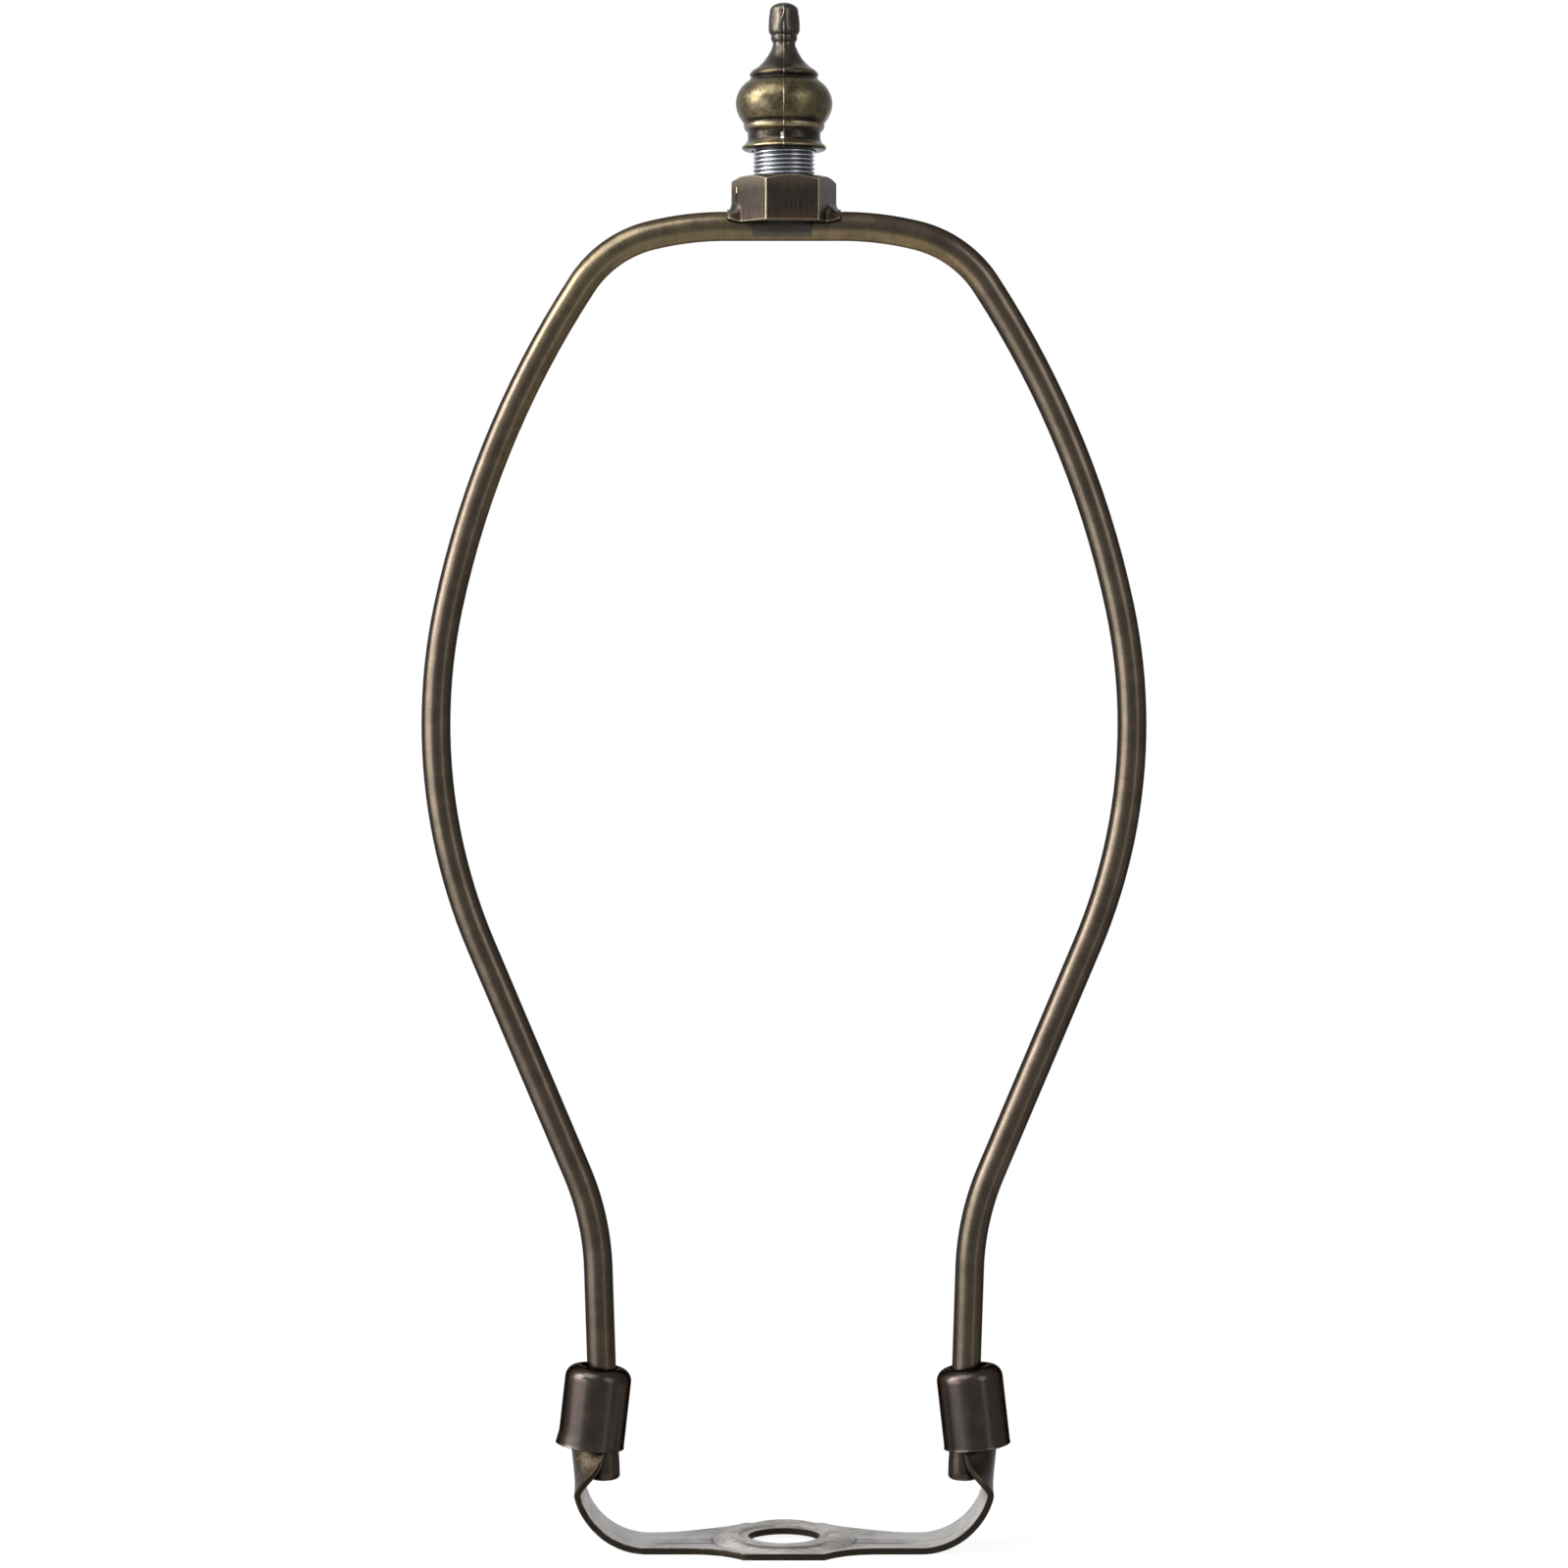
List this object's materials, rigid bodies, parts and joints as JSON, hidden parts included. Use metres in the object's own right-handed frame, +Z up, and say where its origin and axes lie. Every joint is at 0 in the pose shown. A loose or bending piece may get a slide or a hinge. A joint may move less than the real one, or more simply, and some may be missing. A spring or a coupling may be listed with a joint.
{
  "type": "lamp harp",
  "caption": "Lamp harp: a bent wire bow locked by sliding ferrules on a stamped saddle, with a hex shade seat, threaded stud and turned finial.",
  "frame": {"origin": "centre of the saddle's hole, in the plane of the saddle's underside", "axes": "+Z up along the harp to the finial, +X along the saddle from the left leg to the right leg, +Y away from the front"},
  "size_m": [0.1074, 0.0192, 0.2289],
  "materials": {
    "antique_bronze": "steel wire, antique bronze plated and brushed",
    "saddle_bronze": "stamped steel, antique bronze plated, satin",
    "ferrule_bronze": "drawn steel, dark bronze plated, semi-gloss",
    "hex_bronze": "turned steel, antique bronze plated, worn at the edges",
    "zinc_plate": "bright zinc plated thread",
    "cast_antique_brass": "zinc die casting, antique brass plated, pitted and mottled"
  },
  "bodies": {
    "root": {"saddle": "saddle_bronze", "harp_wire": "antique_bronze", "hex_seat": "hex_bronze", "threaded_stud": "zinc_plate"},
    "ferrule_left": {"ferrule_left": "ferrule_bronze"},
    "ferrule_right": {"ferrule_right": "ferrule_bronze"},
    "finial": {"finial": "cast_antique_brass"}
  },
  "joints": [
    {"name": "ferrule_left_slide", "type": "slide", "parent": "root", "child": "ferrule_left", "axis": [-0.0314, 0, 0.9995], "range_m": [0, 0.013]},
    {"name": "ferrule_right_slide", "type": "slide", "parent": "root", "child": "ferrule_right", "axis": [0.0314, 0, 0.9995], "range_m": [0, 0.013]},
    {"name": "finial_turn", "type": "hinge", "parent": "root", "child": "finial", "pos_m": [0, 0, 0.2112], "axis": [0, 0, 1], "continuous": true}
  ]
}
